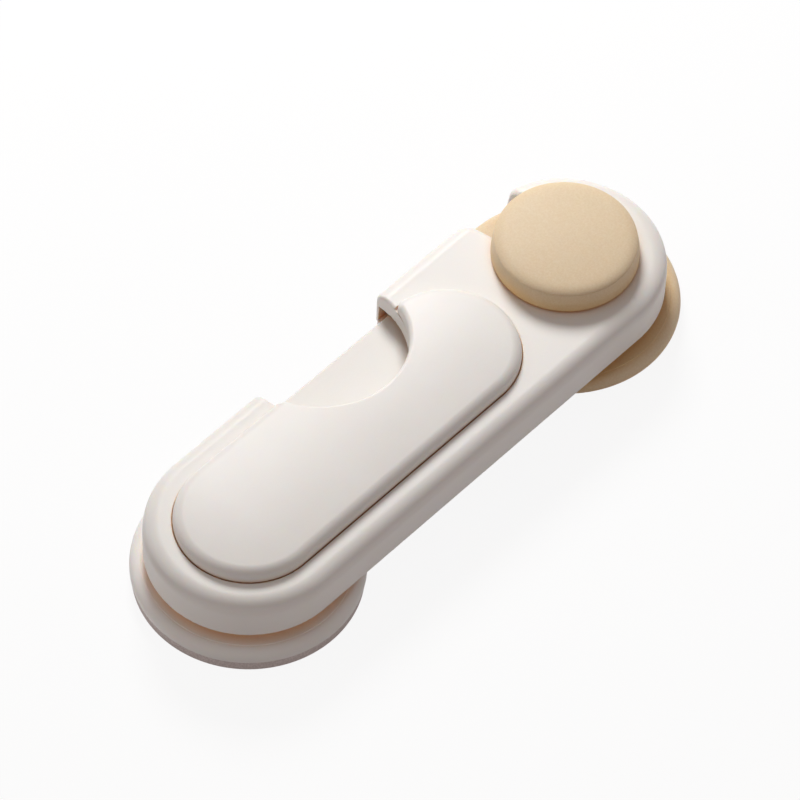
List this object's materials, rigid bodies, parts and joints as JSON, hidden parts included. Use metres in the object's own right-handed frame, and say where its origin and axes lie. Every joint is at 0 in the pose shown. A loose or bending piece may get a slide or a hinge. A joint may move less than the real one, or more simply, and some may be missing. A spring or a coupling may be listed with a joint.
{
  "type": "cabinet safety lock",
  "caption": "Child safety lock: a swivelling arm on an adhesive base hooks round the neck of an adhesive mushroom post; a thumb lever in the arm's side notch frees the hook.",
  "frame": {"origin": "the swivel axis of the arm where it meets the mounting plane, at the centre of the swivel pad's sticky face", "axes": "+X along the locked arm from the swivel axis to the post axis, +Y towards the side with the thumb notch and the hook's mouth, +Z away from the furniture"},
  "size_m": [0.132, 0.046, 0.0221],
  "materials": {
    "white_plastic": "satin, fine moulded grain",
    "cream_plastic": "satin",
    "beige_plastic": "satin, fine moulded grain",
    "foam_pad": "matt closed-cell foam tape",
    "nylon": "smooth",
    "steel": "bright zinc plate"
  },
  "bodies": {
    "bases": {"swivel_pad": "foam_pad", "swivel_base": "white_plastic", "glide_ring": "nylon", "swivel_washer": "steel", "swivel_screw": "steel", "catch_pad": "foam_pad", "catch_base": "beige_plastic", "post_cap": "beige_plastic", "cap_screw": "steel"},
    "arm": {"arm_floor": "white_plastic", "arm_shell": "white_plastic", "top_cover": "white_plastic", "floor_screws": "steel", "lever_pin": "steel", "catch_spring": "steel", "leaf_screw": "steel", "return_spring": "steel"},
    "lever": {"latch_lever": "cream_plastic"}
  },
  "joints": [
    {"name": "arm_swing", "type": "hinge", "parent": "bases", "child": "arm", "pos_m": [0, 0, 0], "axis": [0, 0, -1], "range_deg": [0, 340], "deforming": ["catch_spring"]},
    {"name": "lever_press", "type": "hinge", "parent": "arm", "child": "lever", "pos_m": [0.066, -0.009, 0], "axis": [0, 0, 1], "range_deg": [0, 6], "stiffness_Nm_per_rad": 0.8, "springref_deg": -4.58, "deforming": ["return_spring"]}
  ]
}
